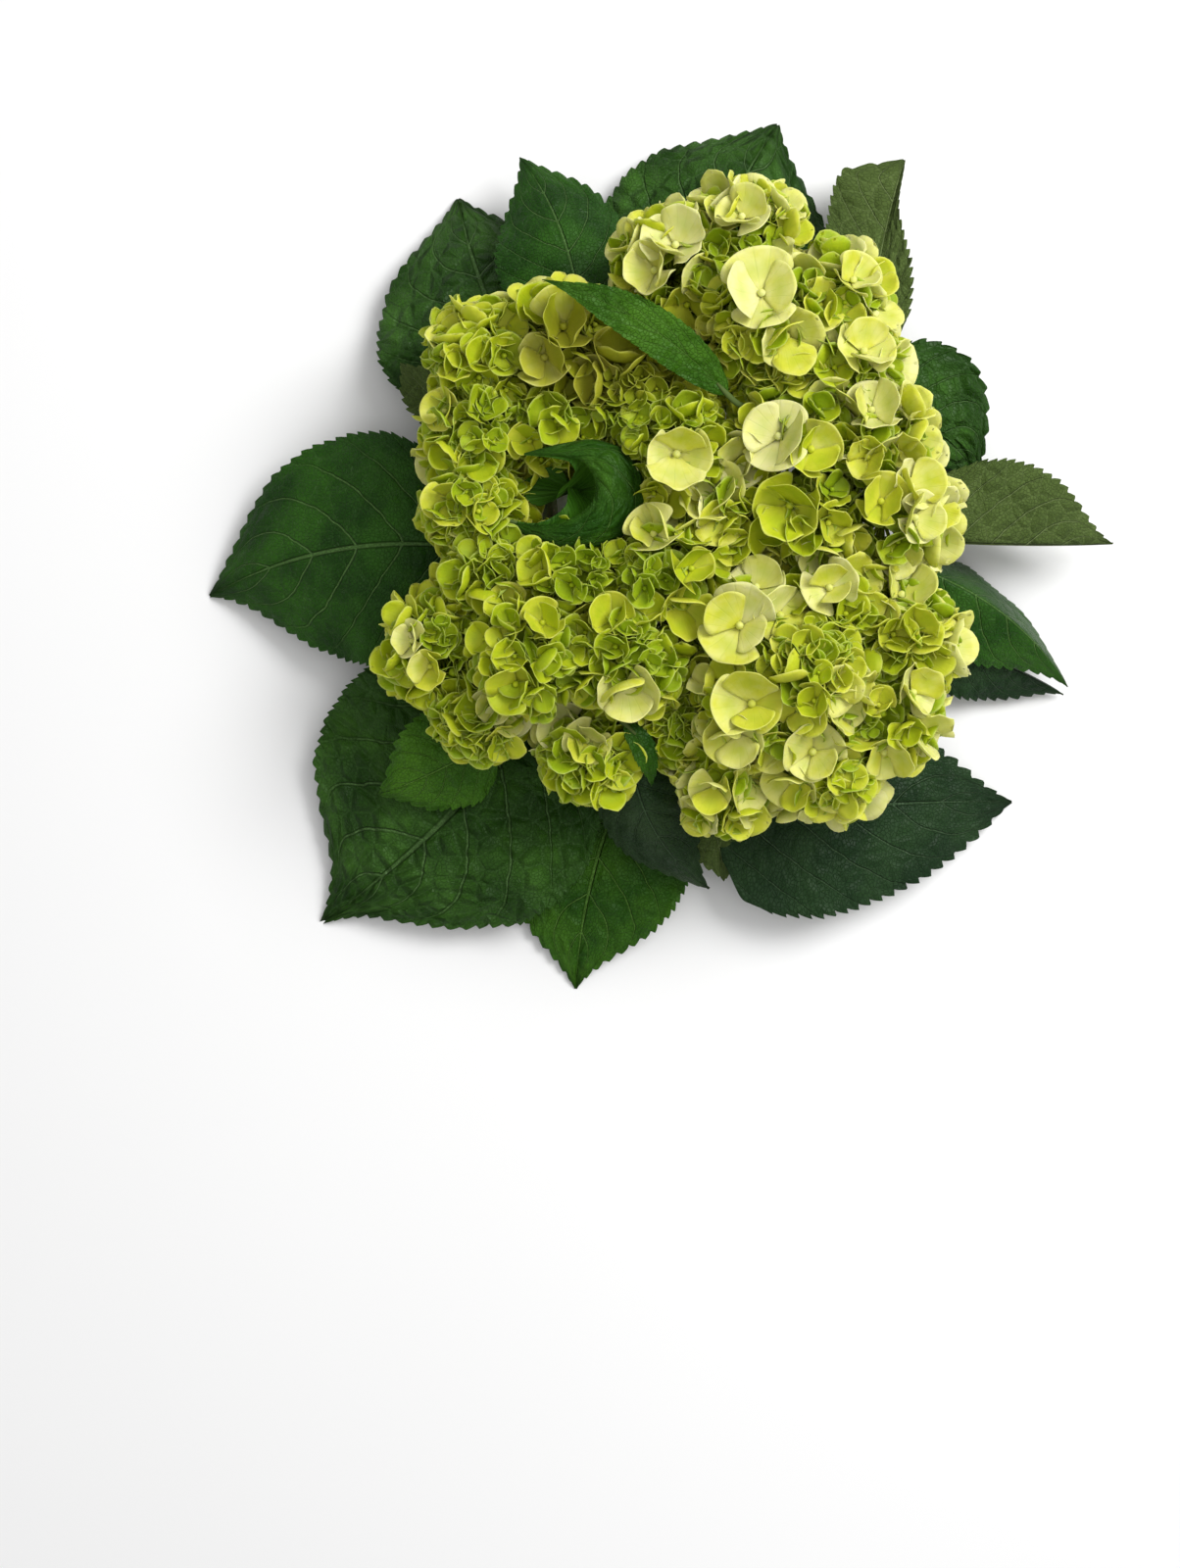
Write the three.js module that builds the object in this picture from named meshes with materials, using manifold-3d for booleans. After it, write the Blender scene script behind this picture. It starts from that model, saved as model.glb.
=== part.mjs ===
// Cut hydrangeas: a laid-down bunch of five green mophead stems with their leaves.
// Millimetres, +Z up. The bunch lies on the floor with its flower heads facing up; the stems
// slope down beneath the heads and meet at -Y. Layout coordinates are moved by ORIGIN_SHIFT so
// that the part's origin is at the middle of its box, on the floor.
import * as THREE from "three";
import { mergeVertices } from "three/addons/utils/BufferGeometryUtils.js";
import Module from "manifold-3d";

// Driving dimensions
const ORIGIN_SHIFT = [-0.9, -6.6, -0.3];
const GAP = 0.4; // clearance between touching pieces
const LEAF_CHANNEL = 0.8; // room round a leaf that grows up through a flower cluster
const STEM_RADIUS = 3.9;
const STEM_SIDES = 8;
const STEM_STEPS = 12;
const PETIOLE_HALF_WIDTH = 1.7;
const PETIOLE_HALF_THICKNESS = 1.3;
const BLADE_HALF_THICKNESS = 0.6;
const TIP_HALF_WIDTH = 0.5;
const LEAF_COLUMNS = 4;
const CLUSTER_DETAIL = 2;
const CLUSTER_LUMP = 1.2; // how far a cluster's surface swells and dips

// Stations along a leaf: -1 is the joint on the stem, 0 the blade's base, 1 its tip.
const LEAF_STATIONS = [-1, -0.5, 0, 0.04, 0.14, 0.3, 0.5, 0.68, 0.82, 0.92, 1];
// Half width of the blade as a share of its greatest half width, at stations from base to tip
const OUTLINE_AT = [0, 0.04, 0.14, 0.3, 0.42, 0.55, 0.68, 0.78, 0.86, 0.93, 1];
const OUTLINE_WIDTH = [0.04, 0.4, 0.78, 0.98, 1, 0.93, 0.76, 0.52, 0.28, 0.11, 0.01];

// Stems: the points that each one's middle line passes, from its flower head to its cut end
const STEMS = {
  upper_left_stem: [[-47, 62, 58], [-49, 40, 30], [-40, -50, 10.5], [-33, -130, 4.2]],
  lower_left_stem: [[-31, -30, 62], [-33, -48, 34], [-26, -90, 12], [-22, -131, 4.2]],
  upper_right_stem: [[47, 108, 62], [42, 78, 34], [10, -50, 11], [-10, -133, 4.2]],
  right_stem: [[80, 32, 62], [68, 8, 34], [26, -70, 10.5], [1, -131, 4.2]],
  lower_right_stem: [[64, -52, 62], [54, -68, 32], [28, -104, 9], [12, -132, 4.2]],
};

// Leaves. joint: a point on the stem's surface; base and tip: the ends of the blade;
// width: the blade's greatest width; arch and bend: how far the midrib bows up and to its left;
// roll: turn of the blade about its midrib; left and right: how far each half tilts up
// (degrees); cup: how much the halves curl up towards their edges (mm); via: points that the
// midrib passes instead of bowing, on a leaf that curls round.
const LEAVES = {
  left_leaf: {
    joint: [-53, 16, 27], base: [-80, 6, 40], tip: [-204, -12, 1.5],
    width: 106, arch: 14, bend: -9, roll: 0, left: -6, right: -8, cup: -4,
  },
  lower_left_leaf: {
    joint: [-37.4, -51.2, 33], base: [-47, -60, 33], tip: [-153, -162, 1.5],
    width: 124, arch: 10, bend: 6, roll: 0, left: -3, right: -3, cup: -4,
  },
  lower_left_small_leaf: {
    joint: [-37, -47, 43], base: [-71, -78, 50], tip: [-124, -103, 36],
    width: 50, arch: 5, bend: 2, roll: 0, left: -35, right: 6, cup: -1,
  },
  bottom_leaf: {
    joint: [-24, -72, 22], base: [-11, -90, 23], tip: [-36, -192, 1.5],
    width: 84, arch: 3, bend: -5, roll: 4, left: 3, right: -3, cup: -1,
  },
  bottom_folded_leaf: {
    joint: [-27, -56, 40], base: [-12, -77, 60], tip: [24, -145, 29],
    width: 62, arch: 10, bend: -10, roll: 0, left: -20, right: -48, cup: -2,
  },
  bottom_olive_leaf: {
    joint: [37, -88, 26], base: [20, -104, 35], tip: [31, -142, 17],
    width: 28, arch: 2, bend: 2, roll: 0, left: -4, right: -4, cup: 1,
  },
  bottom_sliver_leaf: {
    joint: [-22, -47, 66], base: [-15, -72, 80], tip: [-3, -99, 70],
    width: 11, arch: 3, bend: 3, roll: -20, left: 6, right: 6, cup: 0,
  },
  lower_right_leaf: {
    joint: [48.8, -86.4, 22], base: [42, -112, 26], tip: [164, -106, 1.5],
    width: 80, arch: 12, bend: 3, roll: 0, left: -6, right: -3, cup: -2,
  },
  right_dark_leaf: {
    joint: [58, -58, 34], base: [112, -32, 30], tip: [187, -57, 4],
    width: 46, arch: 5, bend: 3, roll: 0, left: -80, right: -30, cup: 0,
  },
  right_glossy_leaf: {
    joint: [66, -6, 33], base: [100, 1, 44], tip: [187, -54, 14],
    width: 62, arch: 10, bend: 4, roll: 0, left: -75, right: -20, cup: -1,
  },
  right_turned_leaf: {
    joint: [77.2, 15, 42], base: [104, 8, 56], tip: [206, 10, 20],
    width: 76, arch: 6, bend: -2, roll: 0, left: 24, right: -112, cup: -2,
  },
  right_round_leaf: {
    joint: [80, 38, 46], base: [92, 62, 40], tip: [146, 40, 18],
    width: 78, arch: 6, bend: 8, roll: 8, left: -8, right: -8, cup: -2,
  },
  top_right_turned_leaf: {
    joint: [52, 108, 40], base: [92, 96, 48], tip: [112, 183, 22],
    width: 54, arch: 4, bend: 2, roll: 0, left: -8, right: -50, cup: 0,
  },
  top_leaf: {
    joint: [39, 88, 32], base: [9, 100, 28], tip: [57, 205, 1.5],
    width: 108, arch: 9, bend: 4, roll: 0, left: -10, right: -8, cup: -3,
  },
  upper_left_inner_leaf: {
    joint: [-43, 68, 52], base: [-33, 100, 47], tip: [-61, 183, 26],
    width: 66, arch: 8, bend: -6, roll: 0, left: -6, right: -22, cup: -2,
  },
  upper_left_outer_leaf: {
    joint: [-54.8, 54, 40], base: [-56, 76, 34], tip: [-90, 171, 1.5],
    width: 112, arch: 12, bend: 4, roll: 0, left: -10, right: -5, cup: -3,
  },
  left_grey_leaf: {
    joint: [-54, 50, 44], base: [-84, 62, 42], tip: [-114, 90, 30],
    width: 24, arch: 2, bend: 2, roll: 0, left: 0, right: 0, cup: 0,
  },
  crossing_leaf: {
    joint: [44, 92, 60], base: [28, 64, 99], tip: [-49, 108, 118],
    width: 19, arch: 4, bend: -6, roll: 0, left: -14, right: 8, cup: 1,
  },
  curled_leaf: {
    joint: [-54, 15, 36], base: [-66, 15, 74], tip: [-57, 41, 96],
    via: [[-38, 13, 84], [-10, 20, 92], [-12, 35, 96], [-34, 41, 98]],
    width: 36, arch: 0, bend: 0, roll: 0, left: 4, right: -62, cup: -1,
  },
};

// Flower clusters of each head: the middle of each one and its radius
const CLUSTERS = {
  upper_left_cluster: [
    [-73, 84, 68, 24], [-42, 90, 72, 24], [-78, 54, 68, 22], [-78, 22, 66, 21],
    [-10, 68, 74, 25], [-44, 57, 66, 24], [7, 44, 80, 24],
  ],
  upper_right_cluster: [
    [6, 121, 70, 24], [38, 134, 70, 24], [74, 104, 76, 25], [42, 98, 84, 27],
    [80, 74, 78, 24], [49, 74, 74, 22],
  ],
  right_cluster: [
    [54, 46, 82, 25], [88, 48, 76, 25], [61, 15, 78, 24], [97, 18, 74, 26],
    [30, 14, 74, 22],
  ],
  lower_right_cluster: [
    [38, -31, 78, 25], [73, -22, 76, 25], [102, -36, 72, 25], [95, -66, 74, 26],
    [42, -66, 82, 25], [71, -86, 72, 25], [29, -96, 64, 21], [62, -52, 90, 24],
  ],
  lower_left_cluster: [
    [-70, -10, 68, 23], [-36, -8, 76, 25], [2, -8, 80, 25], [-95, -39, 62, 22],
    [-54, -41, 82, 25], [-14, -42, 82, 25], [-32, -85, 61, 20], [-76, -66, 58, 19],
    [10, -70, 60, 17],
  ],
};

const COLOURS = {
  upper_left_cluster: 0xb4c24a, upper_right_cluster: 0xc8d264, right_cluster: 0xc4cf5c,
  lower_right_cluster: 0xc6d05e, lower_left_cluster: 0xb6c248,
};
const LEAF_COLOURS = {
  bottom_olive_leaf: 0x46663a, right_turned_leaf: 0x5c7448, top_right_turned_leaf: 0x647d4f,
  lower_left_small_leaf: 0x24551c, bottom_leaf: 0x225a20, bottom_sliver_leaf: 0x3c6b30,
};
const LEAF_COLOUR = 0x1b4020;
const STEM_COLOUR = 0x4f6b34;

const wasm = await Module();
wasm.setup();

const vec = (a) => new THREE.Vector3(a[0], a[1], a[2]);

function merged(geometry) {
  geometry.deleteAttribute("normal");
  geometry.deleteAttribute("uv");
  return mergeVertices(geometry, 1e-4);
}

function toSolid(geometry) {
  const clean = merged(geometry);
  return new wasm.Manifold(new wasm.Mesh({
    numProp: 3,
    vertProperties: new Float32Array(clean.attributes.position.array),
    triVerts: new Uint32Array(clean.index.array),
  }));
}

function toGeometry(solid) {
  const mesh = solid.getMesh();
  const geometry = new THREE.BufferGeometry();
  geometry.setAttribute("position", new THREE.BufferAttribute(mesh.vertProperties, 3));
  geometry.setIndex(new THREE.BufferAttribute(mesh.triVerts, 1));
  geometry.computeVertexNormals();
  return geometry;
}

// A round woody stem along its middle line
function stemGeometry(points, radius) {
  const path = new THREE.CatmullRomCurve3(points.map(vec), false, "catmullrom", 0.5);
  const section = new THREE.Shape();
  for (let side = 0; side < STEM_SIDES; side += 1) {
    const angle = (2 * Math.PI * side) / STEM_SIDES;
    const [x, y] = [radius * Math.cos(angle), radius * Math.sin(angle)];
    if (side === 0) section.moveTo(x, y);
    else section.lineTo(x, y);
  }
  section.closePath();
  return new THREE.ExtrudeGeometry(section, {
    steps: STEM_STEPS, extrudePath: path, bevelEnabled: false,
  });
}

const mix = (a, b, t) => a + (b - a) * t;

function outline(t) {
  for (let i = 1; i < OUTLINE_AT.length; i += 1) {
    if (t <= OUTLINE_AT[i]) {
      const share = (t - OUTLINE_AT[i - 1]) / (OUTLINE_AT[i] - OUTLINE_AT[i - 1]);
      return mix(OUTLINE_WIDTH[i - 1], OUTLINE_WIDTH[i], share);
    }
  }
  return OUTLINE_WIDTH[OUTLINE_WIDTH.length - 1];
}

// The midrib: one curve from base to tip, and the leaf stalk that runs into it from the joint
function midribCurves(leaf) {
  const [joint, base, tip] = [vec(leaf.joint), vec(leaf.base), vec(leaf.tip)];
  const along = tip.clone().sub(base).normalize();
  const up = new THREE.Vector3(0, 0, 1);
  const side = up.clone().cross(along).normalize();
  const middle = base.clone().lerp(tip, 0.5);
  middle.addScaledVector(up, 2 * leaf.arch).addScaledVector(side, 2 * leaf.bend);
  const blade = leaf.via
    ? new THREE.CatmullRomCurve3([base, ...leaf.via.map(vec), tip], false, "catmullrom", 0.5)
    : new THREE.QuadraticBezierCurve3(base, middle, tip);
  const start = blade.getTangent(0);
  const reach = joint.distanceTo(base) * 0.45;
  const knee = base.clone().addScaledVector(start, -reach);
  return { stalk: new THREE.QuadraticBezierCurve3(joint, knee, base), blade };
}

// A leaf's surface: station along it, v from -1 (right edge) to 1 (left edge), w from
// -1 (underside) to 1 (upper side). Each row is tilted, cupped and rolled about the midrib.
function leafPoint(leaf, curves, station, v, w, extra) {
  const onBlade = station > 0;
  const curve = onBlade ? curves.blade : curves.stalk;
  const t = onBlade ? station : station + 1;
  const point = curve.getPoint(t);
  const along = curve.getTangent(t);
  const side = new THREE.Vector3(0, 0, 1).cross(along).normalize();
  side.applyAxisAngle(along, THREE.MathUtils.degToRad(leaf.roll));
  const normal = along.clone().cross(side);
  let half = PETIOLE_HALF_WIDTH;
  let thickness = PETIOLE_HALF_THICKNESS;
  if (onBlade) {
    half = Math.max((leaf.width / 2) * outline(station), TIP_HALF_WIDTH);
    thickness = BLADE_HALF_THICKNESS;
  }
  const tilt = THREE.MathUtils.degToRad(v > 0 ? leaf.left : leaf.right) * (onBlade ? 1 : 0);
  const spread = Math.abs(v) * (half + extra);
  const lateral = side.clone().multiplyScalar(Math.sign(v) * Math.cos(tilt));
  lateral.addScaledVector(normal, Math.sin(tilt));
  const facing = normal.clone().multiplyScalar(Math.cos(tilt));
  facing.addScaledVector(side, -Math.sign(v) * Math.sin(tilt));
  point.addScaledVector(lateral, spread);
  if (onBlade) {
    point.addScaledVector(facing, leaf.cup * v * v * outline(station));
  }
  point.addScaledVector(facing, w * (thickness + extra));
  return point;
}

function leafGeometry(leaf, extra) {
  const rows = LEAF_STATIONS.length - 1;
  const geometry = new THREE.BoxGeometry(1, 1, 1, rows, LEAF_COLUMNS, 1);
  const curves = midribCurves(leaf);
  const position = geometry.attributes.position;
  for (let i = 0; i < position.count; i += 1) {
    const row = Math.round((position.getX(i) + 0.5) * rows);
    const v = 2 * position.getY(i);
    const w = 2 * position.getZ(i);
    const point = leafPoint(leaf, curves, LEAF_STATIONS[row], v, w, extra);
    position.setXYZ(i, point.x, point.y, point.z);
  }
  return geometry;
}

// A lumpy ball of florets
function clusterGeometry([x, y, z, radius]) {
  const geometry = new THREE.IcosahedronGeometry(radius, CLUSTER_DETAIL);
  const position = geometry.attributes.position;
  const point = new THREE.Vector3();
  for (let i = 0; i < position.count; i += 1) {
    point.fromBufferAttribute(position, i);
    const lump = Math.sin(0.35 * point.x + x) * Math.cos(0.35 * point.y + y);
    point.multiplyScalar(1 + (CLUSTER_LUMP * lump) / radius);
    position.setXYZ(i, point.x + x, point.y + y, point.z + z);
  }
  return geometry;
}

// A big block whose flat face crosses the line from `from` to `to` at `distance` from `from`
function blockBeyond(from, to, distance) {
  const size = 200;
  const along = to.clone().sub(from).normalize();
  const block = new THREE.BoxGeometry(size, size, size);
  const turn = new THREE.Quaternion().setFromUnitVectors(new THREE.Vector3(0, 0, 1), along);
  const centre = from.clone().addScaledVector(along, distance + size / 2);
  block.applyQuaternion(turn);
  block.translate(centre.x, centre.y, centre.z);
  return toSolid(block);
}

const group = new THREE.Group();

function addPiece(name, geometry, colour, roughness) {
  const material = new THREE.MeshStandardMaterial({ color: colour, roughness, metalness: 0 });
  const mesh = new THREE.Mesh(geometry, material);
  mesh.name = name;
  mesh.position.set(...ORIGIN_SHIFT);
  group.add(mesh);
}

for (const [name, points] of Object.entries(STEMS)) {
  addPiece(name, stemGeometry(points, STEM_RADIUS), STEM_COLOUR, 0.6);
}

for (const [name, leaf] of Object.entries(LEAVES)) {
  addPiece(name, leafGeometry(leaf, 0), LEAF_COLOURS[name] ?? LEAF_COLOUR, 0.5);
}

// Stems and rising leaves pass through their flower clusters in channels of their own.
const channels = Object.values(STEMS).map((p) => toSolid(stemGeometry(p, STEM_RADIUS + GAP)));
for (const leaf of Object.values(LEAVES)) channels.push(toSolid(leafGeometry(leaf, LEAF_CHANNEL)));

const balls = Object.values(CLUSTERS).flat();
for (const [head, members] of Object.entries(CLUSTERS)) {
  members.forEach((ball, index) => {
    let solid = toSolid(clusterGeometry(ball));
    const here = vec(ball);
    for (const other of balls) {
      const there = vec(other);
      const apart = here.distanceTo(there);
      if (other === ball || apart > ball[3] + other[3] + 3 * CLUSTER_LUMP) continue;
      const share = (apart * apart + ball[3] ** 2 - other[3] ** 2) / (2 * apart);
      solid = solid.subtract(blockBeyond(here, there, share - GAP / 2));
    }
    for (const channel of channels) solid = solid.subtract(channel);
    addPiece(`${head}_${index + 1}`, toGeometry(solid), COLOURS[head], 0.7);
  });
}

export default group;
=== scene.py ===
"""A laid-down bunch of cut lime-green mophead hydrangeas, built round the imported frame."""
import math
from collections import namedtuple

import bpy
import numpy as np
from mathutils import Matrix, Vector


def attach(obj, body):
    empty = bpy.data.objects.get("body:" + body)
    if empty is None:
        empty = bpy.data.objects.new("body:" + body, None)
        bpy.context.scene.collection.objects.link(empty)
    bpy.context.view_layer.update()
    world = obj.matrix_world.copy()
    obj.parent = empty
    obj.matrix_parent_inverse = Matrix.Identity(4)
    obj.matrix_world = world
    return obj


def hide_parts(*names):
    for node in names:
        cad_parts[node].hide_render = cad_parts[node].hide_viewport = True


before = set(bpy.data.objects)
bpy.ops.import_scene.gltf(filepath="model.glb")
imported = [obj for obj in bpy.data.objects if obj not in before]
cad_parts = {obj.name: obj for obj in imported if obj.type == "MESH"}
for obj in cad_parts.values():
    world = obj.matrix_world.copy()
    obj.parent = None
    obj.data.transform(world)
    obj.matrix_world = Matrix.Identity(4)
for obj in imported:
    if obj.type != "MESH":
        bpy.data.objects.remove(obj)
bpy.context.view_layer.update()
MM = 0.001
# From the layout below to the frame, whose origin is under the middle of the bunch's box (mm)
ORIGIN_SHIFT = np.array([-0.9, -6.6, -0.3])
rng = np.random.default_rng(20)

# Stems: points on each middle line from flower head to cut end (millimetres)
STEM_RADIUS = 3.9
STEMS = {
    "upper_left_stem": [(-47, 62, 58), (-49, 40, 30), (-40, -50, 10.5), (-33, -130, 4.2)],
    "lower_left_stem": [(-31, -30, 62), (-33, -48, 34), (-26, -90, 12), (-22, -131, 4.2)],
    "upper_right_stem": [(47, 108, 62), (42, 78, 34), (10, -50, 11), (-10, -133, 4.2)],
    "right_stem": [(80, 32, 62), (68, 8, 34), (26, -70, 10.5), (1, -131, 4.2)],
    "lower_right_stem": [(64, -52, 62), (54, -68, 32), (28, -104, 9), (12, -132, 4.2)],
}

# Leaves. joint: on the stem; base, tip: ends of the blade; width: greatest width; arch, bend:
# how far the midrib bows up and to its left; left, right: tilt of each half (degrees);
# cup: how far the halves curl up (mm); look: which leaf finish; quilt: height of the
# puckers between veins (mm); wave: ruffle of the margin (mm)
LEAF_COLUMNS = ("joint", "base", "tip", "width", "arch", "bend", "left", "right", "cup",
                "look", "quilt", "wave")
LEAF_ROWS = {
    "left_leaf": (
        (-53, 16, 27), (-80, 6, 40), (-204, -12, 1.5),
        106, 14, -9, -6, -8, -4, "smooth", 1.4, 1.2),
    "lower_left_leaf": (
        (-37.4, -51.2, 33), (-47, -60, 33), (-153, -162, 1.5),
        124, 10, 6, -3, -3, -4, "quilted", 3.1, 2.0),
    "lower_left_small_leaf": (
        (-37, -47, 43), (-71, -78, 50), (-124, -103, 36),
        50, 5, 2, -35, 6, -1, "fresh", 1.2, 1.0),
    "bottom_leaf": (
        (-24, -72, 22), (-11, -90, 23), (-36, -192, 1.5),
        84, 3, -5, 3, -3, -1, "bright", 1.5, 1.5),
    "bottom_folded_leaf": (
        (-27, -56, 40), (-12, -77, 60), (24, -145, 29),
        62, 10, -10, -20, -48, -2, "grey", 1.2, 0.6),
    "bottom_olive_leaf": (
        (37, -88, 26), (20, -104, 35), (31, -142, 17),
        28, 2, 2, -4, -4, 1, "under", 0.6, 0.8),
    "bottom_sliver_leaf": (
        (-22, -47, 66), (-15, -72, 80), (-3, -99, 70),
        11, 3, 3, 6, 6, 0, "bright", 0.1, 0.4),
    "lower_right_leaf": (
        (48.8, -86.4, 22), (27, -115, 26), (164, -106, 1.5),
        80, 12, 3, -6, -3, -2, "blue", 0.8, 1.2),
    "right_dark_leaf": (
        (58, -58, 34), (112, -32, 30), (187, -57, 4),
        46, 5, 3, -80, -30, 0, "blue", 0.4, 0.8),
    "right_glossy_leaf": (
        (66, -6, 33), (100, 1, 44), (187, -54, 14),
        62, 10, 9, -64, -20, -1, "glossy", 0.4, 0.8),
    "right_turned_leaf": (
        (77.2, 15, 42), (104, 8, 56), (206, 10, 20),
        76, 6, -2, 24, -112, -2, "under", 0.7, 0.8),
    "right_round_leaf": (
        (80, 38, 46), (92, 62, 40), (146, 40, 18),
        78, 6, 8, -8, -8, -2, "quilted", 2.0, 1.5),
    "top_right_turned_leaf": (
        (52, 108, 40), (92, 96, 48), (112, 183, 22),
        54, 4, 2, -8, 20, 0, "under", 1.5, 1.0),
    "top_leaf": (
        (39, 88, 32), (9, 100, 28), (57, 205, 1.5),
        108, 9, 4, -10, -8, -3, "quilted", 2.4, 1.8),
    "upper_left_inner_leaf": (
        (-43, 68, 52), (-33, 100, 47), (-61, 183, 26),
        66, 8, -6, -6, -22, -2, "smooth", 1.2, 1.2),
    "upper_left_outer_leaf": (
        (-54.8, 54, 40), (-56, 76, 34), (-90, 171, 1.5),
        112, 12, 4, -10, -5, -3, "quilted", 2.0, 1.8),
    "left_grey_leaf": (
        (-54, 50, 44), (-84, 62, 42), (-114, 90, 30),
        24, 2, 2, 0, 0, 0, "under", 0.3, 0.5),
    "crossing_leaf": (
        (44, 92, 60), (28, 64, 99), (-49, 108, 118),
        19, 4, -6, -14, 8, 1, "fresh", 0.3, 0.8),
    "curled_leaf": (
        (-54, 15, 36), (-66, 14, 80), (-57, 40, 95),
        120, 0, 0, -94, 24, 0, "bright", 0.3, 0.4),
}
# What some leaves have besides. turned: the underside faces up; roll: of the whole blade,
# left_curl, right_curl: how far each half rolls up (degrees); via: more points of the
# midrib; teeth: their size against the usual one; pitch: their spacing (mm); left_width,
# right_width, left_outline, right_outline: where a half is not like the usual blade;
# rolled: the look counts from the rolled rim
LEAF_EXTRAS = {
    "lower_left_leaf": dict(
        left_outline=[0.04, 0.4, 0.78, 0.98, 1, 0.92, 0.66, 0.38, 0.16, 0.06, 0.01],
        right_outline=[0.04, 0.4, 0.78, 0.98, 1, 0.96, 0.82, 0.56, 0.24, 0.09, 0.01],
        right_width=148),
    "bottom_leaf": dict(roll=4),
    "bottom_olive_leaf": dict(turned=True),
    "bottom_sliver_leaf": dict(roll=-20),
    "lower_right_leaf": dict(
        teeth=1.5, pitch=6.2, right_width=96,
        right_outline=[0.35, 0.78, 0.94, 1, 0.96, 0.86, 0.7, 0.53, 0.36, 0.16, 0.01]),
    "right_turned_leaf": dict(turned=True),
    "right_round_leaf": dict(roll=8),
    "top_right_turned_leaf": dict(
        turned=True, right_width=34,
        left_outline=[0.04, 0.4, 0.7, 0.85, 0.92, 0.96, 1, 1, 0.93, 0.42, 0.01],
        right_outline=[0.04, 0.9, 1, 0.95, 0.8, 0.5, 0.22, 0.12, 0.08, 0.05, 0.01]),
    "top_leaf": dict(right_width=138),
    "left_grey_leaf": dict(turned=True),
    "crossing_leaf": dict(teeth=0.4),
    "curled_leaf": dict(
        via=((-52, 11, 89), (-40, 12, 94), (-30, 18, 97), (-27, 26, 98), (-30, 34, 98),
             (-37, 38, 98)),
        left_curl=100, right_curl=-225, left_width=104, rolled=True, teeth=0.4,
        left_outline=[0.01, 0.02, 0.03, 0.22, 0.7, 1, 0.7, 0.22, 0.05, 0.02, 0.01],
        right_outline=[0.04, 0.1, 0.3, 0.6, 0.85, 1, 0.85, 0.55, 0.36, 0.2, 0.01]),
}
LEAVES = {name: dict(zip(LEAF_COLUMNS, row), **LEAF_EXTRAS.get(name, {}))
          for name, row in LEAF_ROWS.items()}
# The usual half width of a blade against its greatest, at these shares of its length
OUTLINE_AT = [0, 0.04, 0.14, 0.3, 0.42, 0.55, 0.68, 0.78, 0.86, 0.93, 1]
OUTLINE_WIDTH = [0.04, 0.4, 0.78, 0.98, 1, 0.93, 0.76, 0.52, 0.28, 0.11, 0.01]

# Flower clusters: the middle of each one and its radius (mm)
CLUSTERS = {
    "upper_left_cluster": [
        (-73, 84, 68, 24), (-42, 90, 72, 24), (-78, 54, 68, 22), (-78, 22, 66, 21),
        (-10, 68, 74, 25), (-44, 57, 66, 24), (7, 44, 80, 24)],
    "upper_right_cluster": [
        (6, 121, 70, 24), (38, 134, 70, 24), (74, 104, 76, 25), (42, 98, 84, 27),
        (80, 74, 78, 24), (49, 74, 74, 22)],
    "right_cluster": [
        (54, 46, 82, 25), (88, 48, 76, 25), (61, 15, 78, 24), (97, 18, 74, 26),
        (30, 14, 74, 22)],
    "lower_right_cluster": [
        (38, -31, 78, 25), (73, -22, 76, 25), (102, -36, 72, 25), (95, -66, 74, 26),
        (42, -66, 82, 25), (71, -86, 72, 25), (29, -96, 64, 21), (62, -52, 90, 24)],
    "lower_left_cluster": [
        (-70, -10, 68, 23), (-36, -8, 76, 25), (2, -8, 80, 25), (-95, -39, 62, 22),
        (-54, -41, 82, 25), (-14, -42, 82, 25), (-31, -84, 61, 20), (-76, -66, 58, 19),
        (10, -70, 60, 17)],
}
HEAD_STEM = {
    "upper_left_cluster": "upper_left_stem", "upper_right_cluster": "upper_right_stem",
    "right_cluster": "right_stem", "lower_right_cluster": "lower_right_stem",
    "lower_left_cluster": "lower_left_stem",
}

# How much older than the rest the florets of a head are
RIPENESS = {
    "upper_left_cluster": -0.14, "upper_right_cluster": 0.06, "right_cluster": 0.10,
    "lower_right_cluster": 0.06, "lower_left_cluster": -0.18,
}
# Usual size of a head's florets (mm)
FLORET_SIZE = {
    "upper_left_cluster": 21, "upper_right_cluster": 23, "right_cluster": 25,
    "lower_right_cluster": 22, "lower_left_cluster": 20,
}
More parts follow.
